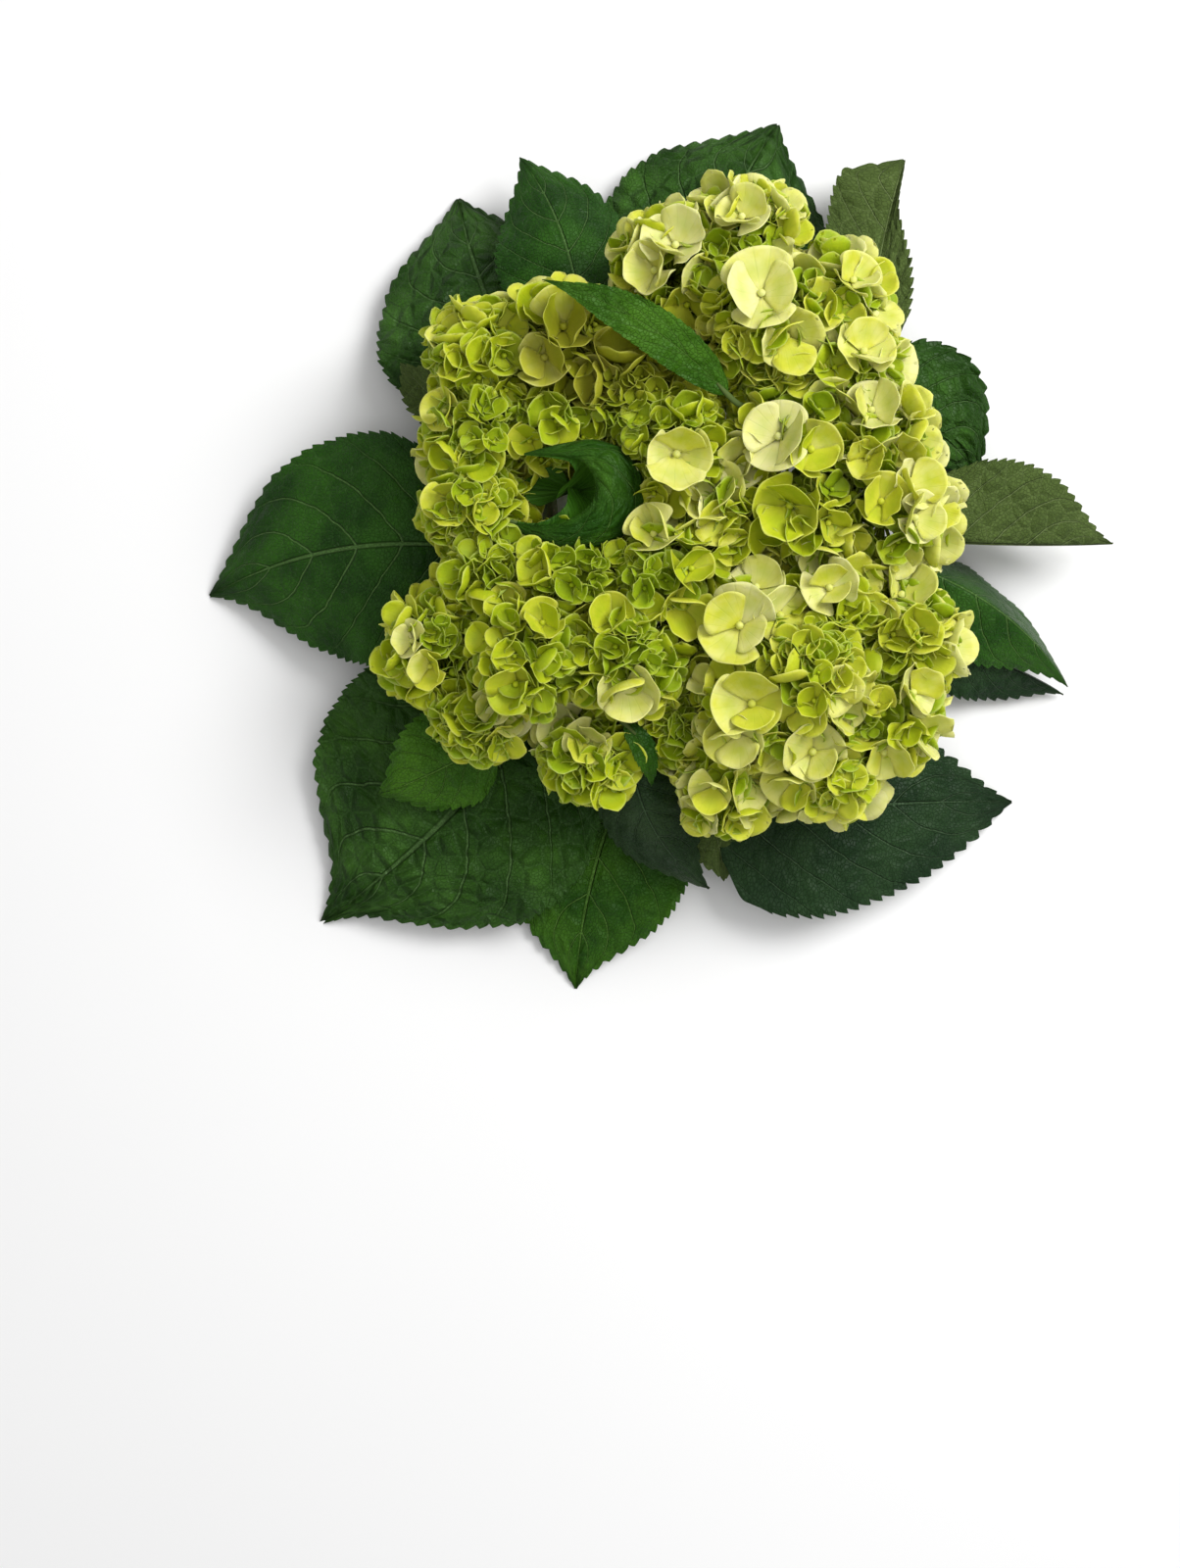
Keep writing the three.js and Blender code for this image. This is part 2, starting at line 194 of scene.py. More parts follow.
# Open florets with a place of their own: x, y, across (mm), openness 0 cup to 1 flat,
# age 0 green to 1 cream, lean towards x, lean towards y
FLORETS = [
    (41, 106, 33, 0.85, 0.95, -0.1, 0.1), (47, 45, 32, 0.90, 1.00, -0.4, 0.2),
    (64, 39, 24, 0.50, 0.55, 0.1, 0.0), (6, 37, 28, 0.45, 0.90, 0.1, -0.1),
    (-4, 10, 24, 0.50, 0.80, -0.1, 0.2), (31, -33, 30, 0.80, 0.85, -0.2, 0.1),
    (53, -27, 25, 0.70, 0.80, 0.1, 0.1), (41, -12, 24, 0.75, 0.90, -0.2, 0.3),
    (36, -64, 28, 0.70, 0.70, -0.1, -0.1), (51, 20, 27, 0.40, 0.45, 0.0, -0.5),
    (46, 6, 20, 0.35, 0.35, 0.0, -0.3), (29, -80, 25, 0.60, 0.85, -0.1, -0.5),
    (61, -83, 26, 0.70, 0.80, 0.1, -0.4), (7, 129, 26, 0.60, 0.95, -0.2, 0.4),
    (33, 140, 24, 0.70, 1.00, 0.0, 0.6), (-4, 116, 24, 0.50, 0.90, -0.5, 0.1),
    (13, 101, 20, 0.45, 0.45, 0.0, 0.0), (69, -15, 23, 0.60, 0.85, 0.1, 0.1),
    (101, -13, 25, 0.60, 0.90, 0.5, 0.2), (58, 4, 18, 0.35, 0.30, 0.0, 0.0),
    (90, 20, 22, 0.50, 0.60, 0.2, 0.0), (-40, 93, 25, 0.40, 0.55, 0.0, 0.3),
    (-20, 84, 25, 0.40, 0.50, 0.3, 0.2), (-31, 71, 23, 0.45, 0.70, 0.0, -0.2),
    (-50, 78, 23, 0.45, 0.70, -0.1, 0.1), (-93, 61, 19, 0.60, 0.80, -0.7, 0.1),
    (-57, 45, 17, 0.40, 0.50, 0.0, 0.1), (-22, -27, 19, 0.55, 0.45, 0.0, 0.0),
    (-6, -25, 17, 0.50, 0.45, 0.0, 0.0), (-48, -29, 19, 0.35, 0.50, 0.0, 0.0),
    (11, -27, 23, 0.40, 0.65, 0.2, -0.2), (15, -9, 20, 0.45, 0.50, 0.0, 0.2),
    (-15, -61, 25, 0.50, 0.90, 0.1, -0.5), (-61, -67, 20, 0.60, 0.95, -0.1, -0.8),
    (-69, -62, 18, 0.60, 0.90, -0.3, -0.7), (-42, -67, 24, 0.55, 0.95, 0.0, -0.8),
    (-31, -77, 20, 0.55, 0.85, 0.1, -0.6), (-97, -50, 17, 0.45, 0.70, -0.4, -0.1),
    (-106, -37, 17, 0.60, 0.95, -0.8, 0.1), (-76, -37, 12, 0.50, 0.30, 0.0, 0.0),
    (20, -50, 19, 0.50, 0.75, -0.3, 0.0), (85, 84, 24, 0.60, 0.85, 0.4, 0.2),
    (87, 60, 24, 0.55, 0.90, 0.3, 0.2), (105, 28, 23, 0.60, 0.90, 0.7, 0.1),
    (107, 12, 24, 0.60, 0.95, 0.7, -0.1), (81, 113, 23, 0.60, 0.90, 0.5, 0.5),
    (107, -58, 23, 0.60, 0.85, 0.6, 0.0), (93, -88, 23, 0.65, 0.80, 0.4, -0.6),
    (52, -98, 22, 0.65, 0.80, 0.0, -0.7), (22, -99, 19, 0.60, 0.75, -0.3, -0.7),
]
# Patches where the florets are young and small: x, y, reach, floret size (mm)
YOUNG_PATCHES = [
    (-36, 2, 24, 9), (-14, -6, 20, 10), (-14, 58, 20, 9), (26, 92, 20, 12), (-84, -34, 22, 10),
    (50, 4, 18, 12), (64, -44, 20, 13), (-64, 50, 16, 11), (-50, -40, 26, 13), (12, -60, 20, 11),
    (28, 62, 14, 10), (-70, 18, 18, 12), (40, 20, 14, 12), (-16, -46, 22, 13),
]


def placed(points):
    """Layout millimetres to metres in the part's frame."""
    return (np.asarray(points, dtype=float) + ORIGIN_SHIFT) * MM


def unit(vectors):
    """Vectors scaled to length one along the last axis."""
    return vectors / np.maximum(np.linalg.norm(vectors, axis=-1, keepdims=True), 1e-12)


def smooth(low, high, value):
    """0 below low, 1 above high, an S curve between."""
    t = np.clip((value - low) / (high - low), 0, 1)
    return t * t * (3 - 2 * t)


# ---------------------------------------------------------------- mesh building

def sheet_faces(rows, columns):
    """Faces of a closed sheet: an upper grid, a lower grid turned over, and a wall round."""
    i, j = np.meshgrid(np.arange(rows - 1), np.arange(columns - 1), indexing="ij")
    a = (i * columns + j).ravel()
    upper = np.stack([a, a + columns, a + columns + 1, a + 1], axis=1)
    lower = upper[:, ::-1] + rows * columns
    low = rows * columns
    r = np.arange(rows - 1) * columns
    right = np.stack([r, r + low, r + columns + low, r + columns], axis=1)
    s = r + columns - 1
    left = np.stack([s, s + columns, s + columns + low, s + low], axis=1)
    c = np.arange(columns - 1)
    near = np.stack([c, c + 1, c + 1 + low, c + low], axis=1)
    e = c + (rows - 1) * columns
    far = np.stack([e, e + low, e + 1 + low, e + 1], axis=1)
    return np.concatenate([upper, lower, right, left, near, far])


def tube_faces(rings, sides):
    """Faces of a closed tube: rings of points, then one middle point at each end."""
    i, j = np.meshgrid(np.arange(rings - 1), np.arange(sides), indexing="ij")
    a = (i * sides + j).ravel()
    b = (i * sides + (j + 1) % sides).ravel()
    wall = np.stack([a, b, b + sides, a + sides], axis=1)
    k = np.arange(sides)
    start, end = rings * sides, rings * sides + 1
    cap = np.stack([np.full(sides, start), (k + 1) % sides, k], axis=1)
    last = (rings - 1) * sides
    tip = np.stack([np.full(sides, end), last + k, last + (k + 1) % sides], axis=1)
    return wall, np.concatenate([cap, tip])


class Pile:
    """Collects points, faces and point values for one piece."""

    def __init__(self):
        self.points, self.quads, self.tris, self.count = [], [], [], 0
        self.values = {}

    def add(self, points, quads, tris=None, **values):
        """points (copies, n, 3); the same faces for every copy; values (copies, n[, 2 or 3]),
        0 where a part gives none."""
        copies, n = points.shape[:2]
        self.points.append(points.reshape(-1, 3))
        shift = self.count + np.arange(copies)[:, None, None] * n
        self.quads.append((quads[None] + shift).reshape(-1, 4))
        if tris is not None:
            self.tris.append((tris[None] + shift).reshape(-1, 3))
        for key in sorted({*self.values, *values}):
            have = self.values.setdefault(key, [])
            if not have and self.count:
                have.append(np.zeros((self.count,) + np.shape(values[key])[2:]))
            if key in values:
                full = np.broadcast_to(values[key], (copies, n) + np.shape(values[key])[2:])
                have.append(full.reshape((copies * n,) + full.shape[2:]))
            else:
                have.append(np.zeros((copies * n,) + have[0].shape[1:]))
        self.count += copies * n

    def piece(self, name, material, slot):
        """Make the mesh object with its material and ride it on the body; slot is not used."""
        points = placed(np.concatenate(self.points))
        quads = np.concatenate(self.quads)
        tris = np.concatenate(self.tris) if self.tris else np.zeros((0, 3), dtype=int)
        mesh = bpy.data.meshes.new(name)
        mesh.vertices.add(len(points))
        mesh.vertices.foreach_set("co", points.ravel())
        loops = np.concatenate([quads.ravel(), tris.ravel()]).astype(np.int32)
        starts = np.concatenate([
            np.arange(len(quads)) * 4, len(quads) * 4 + np.arange(len(tris)) * 3])
        mesh.loops.add(len(loops))
        mesh.loops.foreach_set("vertex_index", loops)
        mesh.polygons.add(len(starts))
        mesh.polygons.foreach_set("loop_start", starts.astype(np.int32))
        mesh.update(calc_edges=True)
        mesh.polygons.foreach_set("use_smooth", np.ones(len(starts), dtype=bool))
        for key, parts in self.values.items():
            data = np.concatenate(parts)
            if key == "uv":
                layer = mesh.uv_layers.new(name="UVMap")
                layer.data.foreach_set("uv", data[loops].ravel().astype(np.float32))
            elif data.ndim == 1:
                layer = mesh.attributes.new(key, "FLOAT", "POINT")
                layer.data.foreach_set("value", data.astype(np.float32))
            else:
                layer = mesh.attributes.new(key, "FLOAT_VECTOR", "POINT")
                layer.data.foreach_set("vector", data.ravel().astype(np.float32))
        mesh.validate()
        mesh.materials.append(material)
        piece = bpy.data.objects.new(name, mesh)
        bpy.context.scene.collection.objects.link(piece)
        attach(piece, "root")
        return piece


# ---------------------------------------------------------------- curves

def through(points, t):
    """Catmull-Rom curve through the points, at shares t of its length in spans."""
    p = np.asarray(points, dtype=float)
    p = np.concatenate([[2 * p[0] - p[1]], p, [2 * p[-1] - p[-2]]])
    spans = len(p) - 3
    place = np.clip(t, 0, 1) * spans
    i = np.minimum(place.astype(int), spans - 1)
    w = (place - i)[:, None]
    p0, p1, p2, p3 = p[i], p[i + 1], p[i + 2], p[i + 3]
    m1, m2 = (p2 - p0) / 2, (p3 - p1) / 2
    return ((2 * p1 - 2 * p2 + m1 + m2) * w ** 3
            + (-3 * p1 + 3 * p2 - 2 * m1 - m2) * w ** 2 + m1 * w + p1)


def bow(start, middle, end, t):
    """Quadratic curve from start to end, drawn towards middle."""
    t = t[:, None]
    return (1 - t) ** 2 * start + 2 * t * (1 - t) * middle + t ** 2 * end


def tube(path, radius, sides, squash=1.0):
    """Rings round a path: each ring is a circle in the plane across the path's direction."""
    along = unit(np.gradient(path, axis=0))
    across = np.cross(along, (0.13, 0.21, 0.97))
    flat = np.linalg.norm(across, axis=1) < 0.15
    across[flat] = np.cross(along[flat], (1, 0, 0))
    across = unit(across)
    other = np.cross(along, across)
    angle = np.arange(sides) * 2 * math.pi / sides
    r = np.broadcast_to(radius, (len(path),))[:, None, None]
    ring = (np.cos(angle)[None, :, None] * across[:, None]
            + squash * np.sin(angle)[None, :, None] * other[:, None])
    rings = path[:, None] + r * ring
    return np.concatenate([rings.reshape(-1, 3), path[:1], path[-1:]])


# ---------------------------------------------------------------- materials

def material(name):
    """An empty node material with its one Principled shader."""
    made = bpy.data.materials.new(name)
    made.use_nodes = True
    return made, made.node_tree, made.node_tree.nodes["Principled BSDF"]


def settle(shader, settings):
    """Fill in the shader's own sockets."""
    for socket, value in settings.items():
        shader.inputs[socket].default_value = value


def node(tree, kind, **settings):
    """A shader node with some of its settings filled in."""
    made = tree.nodes.new(kind)
    for key, value in settings.items():
        setattr(made, key, value)
    return made


def read(tree, name, part="Fac"):
    """The value of one of the mesh's own attributes."""
    return node(tree, "ShaderNodeAttribute", attribute_name=name).outputs[part]


def sums(tree, operation, a, b=None, c=None):
    """One arithmetic step; each of a, b, c is a socket or a number."""
    made = node(tree, "ShaderNodeMath", operation=operation)
    for socket, value in zip(made.inputs, (a, b, c)):
        if value is None:
            continue
        if isinstance(value, (int, float)):
            socket.default_value = value
        else:
            tree.links.new(value, socket)
    return made.outputs[0]


def between(tree, value, low, high, to_low=0.0, to_high=1.0):
    """Smooth step of value from low to high."""
    made = node(tree, "ShaderNodeMapRange", interpolation_type="SMOOTHSTEP")
    tree.links.new(value, made.inputs["Value"])
    for key, number in (("From Min", low), ("From Max", high),
                        ("To Min", to_low), ("To Max", to_high)):
        made.inputs[key].default_value = number
    return made.outputs[0]


def blend(tree, share, first, second):
    """Mix two colours by share; each is a socket, number or colour."""
    made = node(tree, "ShaderNodeMix", data_type="RGBA")
    for socket, value in ((made.inputs[0], share), (made.inputs[6], first),
                          (made.inputs[7], second)):
        if isinstance(value, (int, float)):
            socket.default_value = value
        elif isinstance(value, tuple):
            socket.default_value = (*value, 1)
        else:
            tree.links.new(value, socket)
    return made.outputs[2]


def tint(tree, body, colour, share, strength):
    """Body mixed towards colour where share is 1, as far as strength."""
    return blend(tree, sums(tree, "MULTIPLY", share, strength), body, colour)


def ramp(tree, value, stops):
    """Colour ramp through (place, colour) stops."""
    made = node(tree, "ShaderNodeValToRGB")
    elements = made.color_ramp.elements
    for index, (place, colour) in enumerate(stops):
        stop = elements[index] if index < 2 else elements.new(place)
        stop.position = place
        stop.color = (*colour, 1)
    tree.links.new(value, made.inputs[0])
    return made.outputs[0]


def noise(tree, vector, scale, detail):
    """Cloudy noise."""
    made = node(tree, "ShaderNodeTexNoise")
    made.inputs["Scale"].default_value = scale
    made.inputs["Detail"].default_value = detail
    tree.links.new(vector, made.inputs["Vector"])
    return made.outputs["Fac"]


def cell_distance(tree, vector, scale, feature="F1"):
    """Distance to the middle or, with another feature, to the edge of scattered cells."""
    made = node(tree, "ShaderNodeTexVoronoi", feature=feature)
    made.inputs["Scale"].default_value = scale
    tree.links.new(vector, made.inputs["Vector"])
    return made.outputs["Distance"]


def here(tree):
    """Object coordinates."""
    return node(tree, "ShaderNodeTexCoord").outputs["Object"]


def own_uv(tree):
    """The mesh's own UV."""
    return node(tree, "ShaderNodeUVMap", uv_map="UVMap").outputs[0]


def split_up(tree, vector):
    """The three numbers of a vector."""
    made = node(tree, "ShaderNodeSeparateXYZ")
    tree.links.new(vector, made.inputs[0])
    return made.outputs


def roughen(tree, shader, height, strength, depth):
    """Bump the surface by height; depth in metres."""
    made = node(tree, "ShaderNodeBump")
    made.inputs["Strength"].default_value = strength
    made.inputs["Distance"].default_value = depth
    tree.links.new(height, made.inputs["Height"])
    tree.links.new(made.outputs[0], shader.inputs["Normal"])


# Painted shadow that the crossing leaf casts on the upper left head's florets: middle and reach
# of its patch (m)
CROSSING_SHADOW_MIDDLE = (-0.022, 0.076)
CROSSING_SHADOW_REACH = (0.044, 0.025)


def painted_crossing_shadow(tree):
    """1 in the crossing leaf's painted shadow on the florets, 0 elsewhere, soft between."""
    (x, y), (wide, deep) = CROSSING_SHADOW_MIDDLE, CROSSING_SHADOW_REACH
    away = node(tree, "ShaderNodeVectorMath", operation="MULTIPLY_ADD")
    tree.links.new(here(tree), away.inputs[0])
    away.inputs[1].default_value = (1 / wide, 1 / deep, 0)
    away.inputs[2].default_value = (-x / wide, -y / deep, 0)
    reach = node(tree, "ShaderNodeVectorMath", operation="LENGTH")
    tree.links.new(away.outputs[0], reach.inputs[0])
    return between(tree, reach.outputs["Value"], 0.6, 1.25, 1.0, 0.0)


def petal_finish():
    """Sepals: green when young, cream when old, paler at the rim, with fine fanned veins and a
    painted shadow of the crossing leaf over one patch of the upper left head.
    """
    made, tree, shader = material("sepal")
    rim = read(tree, "rim")
    x, y, _ = split_up(tree, own_uv(tree))
    cloud = noise(tree, here(tree), 160.0, 3.0)
    mottled = sums(tree, "MULTIPLY_ADD", cloud, 0.5, -0.25)
    aged = sums(tree, "ADD", read(tree, "age"), mottled)
    body = ramp(tree, aged, [
        (0.0, (0.25, 0.35, 0.006)), (0.35, (0.43, 0.49, 0.010)),
        (0.65, (0.57, 0.58, 0.050)), (1.0, (0.72, 0.71, 0.30))])
    throat = between(tree, rim, 0.0, 0.75, 1.0, 0.0)
    body = tint(tree, body, (0.31, 0.41, 0.016), throat, 0.38)
    edge = between(tree, rim, 0.86, 1.0)
    body = tint(tree, body, (0.74, 0.77, 0.33), edge, 0.22)
    fan = sums(tree, "DIVIDE", x, sums(tree, "ADD", y, 0.25))
    line = sums(tree, "ABSOLUTE", sums(tree, "SINE", sums(tree, "MULTIPLY", fan, 15.0)))
    vein = between(tree, line, 0.0, 0.3, 1.0, 0.0)
    body = tint(tree, body, (0.33, 0.47, 0.03), vein, 0.12)
    # Painted shadow of the crossing leaf: sepals in its patch are darkened towards brown olive
    body = tint(tree, body, (0.17, 0.15, 0.010), painted_crossing_shadow(tree), 0.6)
    tree.links.new(body, shader.inputs["Base Color"])
    settle(shader, {
        "Roughness": 0.55, "Specular IOR Level": 0.2, "Subsurface Weight": 0.25,
        "Subsurface Radius": (0.8, 1.0, 0.25), "Subsurface Scale": 0.0015})
    roughen(tree, shader, sums(tree, "SUBTRACT", cloud, vein), 0.25, 0.0003)
    return made


def stalk_finish():
    """Flower stalks and buds: pale green, a little mottled."""
    made, tree, shader = material("flower_stalk")
    cloud = noise(tree, here(tree), 220.0, 3.0)
    body = ramp(tree, cloud, [(0.3, (0.22, 0.36, 0.05)), (0.7, (0.40, 0.53, 0.10))])
    tree.links.new(body, shader.inputs["Base Color"])
    settle(shader, {"Roughness": 0.5})
    roughen(tree, shader, cloud, 0.3, 0.0002)
    return made


# Leaf finishes: dark and light green of the upper side, its veins, roughness, and how
# strongly the net of fine veins puckers the blade and darkens its grooves with painted shade
LEAF_LOOKS = {
    "smooth": ((0.009, 0.042, 0.003), (0.024, 0.092, 0.006), (0.11, 0.21, 0.06), 0.45, 0.25),
    "quilted": ((0.013, 0.047, 0.004), (0.043, 0.122, 0.014), (0.10, 0.19, 0.06), 0.44, 0.9),
    "bright": ((0.015, 0.066, 0.003), (0.040, 0.122, 0.006), (0.11, 0.23, 0.04), 0.48, 0.4),
    "fresh": ((0.026, 0.092, 0.003), (0.055, 0.155, 0.008), (0.12, 0.25, 0.04), 0.48, 0.4),
    "glossy": ((0.012, 0.056, 0.004), (0.027, 0.096, 0.008), (0.11, 0.22, 0.05), 0.40, 0.2),
    "blue": ((0.008, 0.027, 0.008), (0.018, 0.048, 0.014), (0.06, 0.11, 0.05), 0.48, 0.3),
    "grey": ((0.013, 0.036, 0.010), (0.030, 0.062, 0.021), (0.06, 0.11, 0.05), 0.5, 0.3),
    "under": ((0.055, 0.086, 0.018), (0.082, 0.124, 0.030), (0.13, 0.18, 0.06), 0.6, 0.5),
}
# The underside of every leaf: dark and light green, fine net, veins
UNDERSIDE = (
    (0.055, 0.088, 0.018), (0.078, 0.120, 0.028), (0.13, 0.18, 0.06), (0.17, 0.23, 0.08))
# Pairs of side veins over a blade's length, and how far they sweep forward by its margin
LATERALS = 6.0
SWEEP = 0.38


def leaf_finish(look):
    """Leaf blade: side veins sweep forward from the midrib, a net of fine veins lies between
    them, the green clouds from dark to light, painted shade darkens the net's grooves, and the
    underside is pale."""
    dark, light, pale, gloss, pucker = LEAF_LOOKS[look]
    low_dark, low_light, low_net, low_vein = UNDERSIDE
    made, tree, shader = material("leaf_" + look)
    u, v, under = split_up(tree, read(tree, "blade", "Vector"))
    v = sums(tree, "ABSOLUTE", v)
    uv = own_uv(tree)
    wander = noise(tree, uv, 9.0, 2.0)
    forward = sums(tree, "MULTIPLY", sums(tree, "POWER", v, 1.2), SWEEP)
    place = sums(tree, "SUBTRACT", u, forward)
    place = sums(tree, "ADD", place, sums(tree, "MULTIPLY_ADD", wander, 0.03, -0.015))
    phase = sums(tree, "FRACT", sums(tree, "MULTIPLY", place, LATERALS))
    off = sums(tree, "ABSOLUTE", sums(tree, "SUBTRACT", phase, 0.5))
    lateral = between(tree, off, 0.015, 0.045, 1.0, 0.0)
    fade = between(tree, v, 0.55, 0.98, 1.0, 0.15)
    lateral = sums(tree, "MULTIPLY", lateral, fade)
    midrib = between(tree, v, 0.012, 0.03, 1.0, 0.0)
    main = sums(tree, "MAXIMUM", lateral, midrib)
    net = cell_distance(tree, uv, 11.0, "DISTANCE_TO_EDGE")
    fine = between(tree, net, 0.0, 0.05, 1.0, 0.0)
    cells = between(tree, net, 0.0, 0.35)
    tiny = cell_distance(tree, uv, 60.0, "DISTANCE_TO_EDGE")
    mesh_line = between(tree, tiny, 0.0, 0.12, 1.0, 0.0)
    cloud = noise(tree, uv, 3.5, 4.0)
    top = blend(tree, between(tree, cloud, 0.35, 0.68), dark, light)
    # Painted shade: darker along the grooves of the net of fine veins, more so the more the
    # blade puckers
    painted_groove_shade = between(tree, net, 0.02, 0.22, 1.0, 0.0)
    top = tint(tree, top, dark, painted_groove_shade, 0.45 * pucker)
    top = tint(tree, top, pale, fine, 0.05 + 0.06 * pucker)
    top = tint(tree, top, pale, mesh_line, 0.04)
    top = tint(tree, top, pale, main, 0.52)
    below = blend(tree, between(tree, cloud, 0.3, 0.7), low_dark, low_light)
    below = tint(tree, below, low_net, fine, 0.30)
    below = tint(tree, below, low_vein, main, 0.7)
    tree.links.new(blend(tree, under, top, below), shader.inputs["Base Color"])
    rough = sums(tree, "MULTIPLY_ADD", cloud, 0.2, gloss - 0.1)
    tree.links.new(sums(tree, "MULTIPLY_ADD", under, 0.2, rough), shader.inputs["Roughness"])
    settle(shader, {"Specular IOR Level": 0.13})
    height = sums(tree, "MULTIPLY", cells, pucker)
    height = sums(tree, "SUBTRACT", height, sums(tree, "MULTIPLY", main, 0.9))
    height = sums(tree, "SUBTRACT", height, sums(tree, "MULTIPLY", mesh_line, 0.12))
    roughen(tree, shader, height, 1.0, 0.0026)
    return made


def bark_finish():
    """Woody stem: grey-green skin with brown streaks along it and small raised pores, and a
    pale cut face with pith."""
    made, tree, shader = material("stem_bark")
    uv = own_uv(tree)
    stretch = node(tree, "ShaderNodeMapping")
    stretch.inputs["Scale"].default_value = (1.0, 0.12, 1.0)
    tree.links.new(uv, stretch.inputs[0])
    streak = noise(tree, stretch.outputs[0], 60.0, 4.0)
    body = ramp(tree, streak, [
        (0.3, (0.075, 0.105, 0.030)), (0.52, (0.13, 0.16, 0.055)), (0.72, (0.17, 0.13, 0.065))])
    spot = between(tree, cell_distance(tree, uv, 32.0), 0.10, 0.2, 1.0, 0.0)
    body = blend(tree, spot, body, (0.28, 0.22, 0.13))
    cut = read(tree, "cut")
    face = ramp(tree, cut, [(0.0, (0.30, 0.36, 0.14)), (0.5, (0.45, 0.46, 0.22)),
                            (1.0, (0.72, 0.68, 0.48))])
    body = blend(tree, between(tree, cut, 0.02, 0.05), body, face)
    tree.links.new(body, shader.inputs["Base Color"])
    settle(shader, {"Roughness": 0.6})
    roughen(tree, shader, sums(tree, "ADD", streak, spot), 0.5, 0.0004)
    return made


# ---------------------------------------------------------------- leaves

BLADE_ROWS = 170
BLADE_COLUMNS = 37
BLADE_THICKNESS = 0.5
TOOTH_PITCH = 4.8
TOOTH_DEPTH = 2.1
TOOTH_LEAD = 1.5
RIDGE_SPACING = 17


def midrib(leaf):
    """The blade's middle line as a function of t, and its first direction."""
    base, tip = np.array(leaf["base"], float), np.array(leaf["tip"], float)
    if "via" in leaf:
        points = [leaf["base"], *leaf["via"], leaf["tip"]]
        return lambda t: through(points, t)
    side = unit(np.cross((0, 0, 1), tip - base))
    middle = (base + tip) / 2 + 2 * leaf["arch"] * np.array([0, 0, 1]) + 2 * leaf["bend"] * side
    return lambda t: bow(base, middle, tip, t)


def blade_grid(leaf):
    """Blade surface: a midrib curve in u; each half spreads from it by the outline's half
    width, tilted by its own angle and cupped with the square of v; the margin carries
    forward-leaning teeth and a slow wave, and the blade puckers up between side veins."""
    curve = midrib(leaf)
    u = np.linspace(0, 1, BLADE_ROWS)
    v = np.sin(np.linspace(-1, 1, BLADE_COLUMNS) * math.pi / 2)
    line = curve(u)
    along = unit(np.gradient(line, axis=0))
    side = unit(np.cross((0, 0, 1), along))
    roll = math.radians(leaf.get("roll", 0))
    normal = np.cross(along, side)
    side, normal = (side * math.cos(roll) + normal * math.sin(roll),
                    normal * math.cos(roll) - side * math.sin(roll))
    length = np.linalg.norm(np.diff(line, axis=0), axis=1).sum()
    kernel = np.hanning(9)
    kernel /= kernel.sum()
    halves = []
    for hand in ("left", "right"):
        outline = np.interp(u, OUTLINE_AT, leaf.get(hand + "_outline", OUTLINE_WIDTH))
        outline = np.convolve(np.pad(outline, 4, mode="edge"), kernel, "valid")
        halves.append(leaf.get(hand + "_width", leaf["width"]) / 2 * outline)
    uu, vv = np.meshgrid(u, v, indexing="ij")
    size = np.abs(vv)
    half = np.where(vv > 0, halves[0][:, None], halves[1][:, None])
    usual = np.interp(uu, OUTLINE_AT, OUTLINE_WIDTH)
    teeth = max(10, round(length / leaf.get("pitch", TOOTH_PITCH)))
    shift = 0.31 * np.sign(vv)
    saw = (uu * teeth + shift) % 1.0
    strength = leaf.get("teeth", 1.0)
    tooth = saw ** 0.6 * (1 - smooth(0.78, 1.0, saw))
    tooth = tooth * smooth(0.07, 0.2, uu) * (1 - smooth(0.93, 0.99, uu))
    margin = size ** 14
    reach = half * size + (
        strength * TOOTH_DEPTH * (tooth - 0.4) * margin * np.minimum(1, half / 12))
    lead = strength * TOOTH_LEAD * tooth * margin
    tilt = np.radians(np.where(vv > 0, leaf["left"], leaf["right"]))
    tilt = tilt * smooth(0, 0.08, size)
    sign = np.sign(vv)
    curl = np.radians(np.where(vv > 0, leaf.get("left_curl", 0), leaf.get("right_curl", 0)))
    curl = curl * size + 1e-4
    out = (np.sin(tilt + curl) - np.sin(tilt)) / curl
    rise = (np.cos(tilt) - np.cos(tilt + curl)) / curl
    lateral = side[:, None] * (sign * out)[..., None] + normal[:, None] * rise[..., None]
    facing = (normal[:, None] * np.cos(tilt + curl)[..., None]
              - side[:, None] * (sign * np.sin(tilt + curl))[..., None])
    place = uu - SWEEP * size ** 1.2
    phase = (place * LATERALS) % 1.0
    pucker = np.sin(np.pi * ((phase + 0.5) % 1.0)) ** 0.7
    ridges = size * leaf["width"] / RIDGE_SPACING + 0.5 * np.floor(place * LATERALS + 0.5)
    cross = np.abs(np.sin(np.pi * (ridges + 0.25 * np.sin(uu * 31)))) ** 0.55
    pucker = pucker * (0.35 + 0.65 * cross)
    pucker = pucker * smooth(0.02, 0.25, size) * (1 - 0.6 * size ** 6)
    groove = -0.8 * np.exp(-(half * size / 1.2) ** 2)
    wave = leaf["wave"] * size ** 3 * np.sin(uu * 17 + 2.1 * sign + leaf["width"])
    relief = (leaf["cup"] * size ** 2 * usual + leaf["quilt"] * (pucker - 0.4) * usual
              + leaf["quilt"] * groove + wave * usual)
    points = (line[:, None] + lateral * reach[..., None] + along[:, None] * lead[..., None]
              + facing * relief[..., None])
    if leaf.get("rolled"):
        vv = np.where(vv < 0, 1 + 2 * vv, 1.0)
    flat = np.stack([uu * length / 100, vv * leaf["width"] / 200 * (0.35 + 0.65 * usual)], -1)
    return points, facing, uu, vv, flat


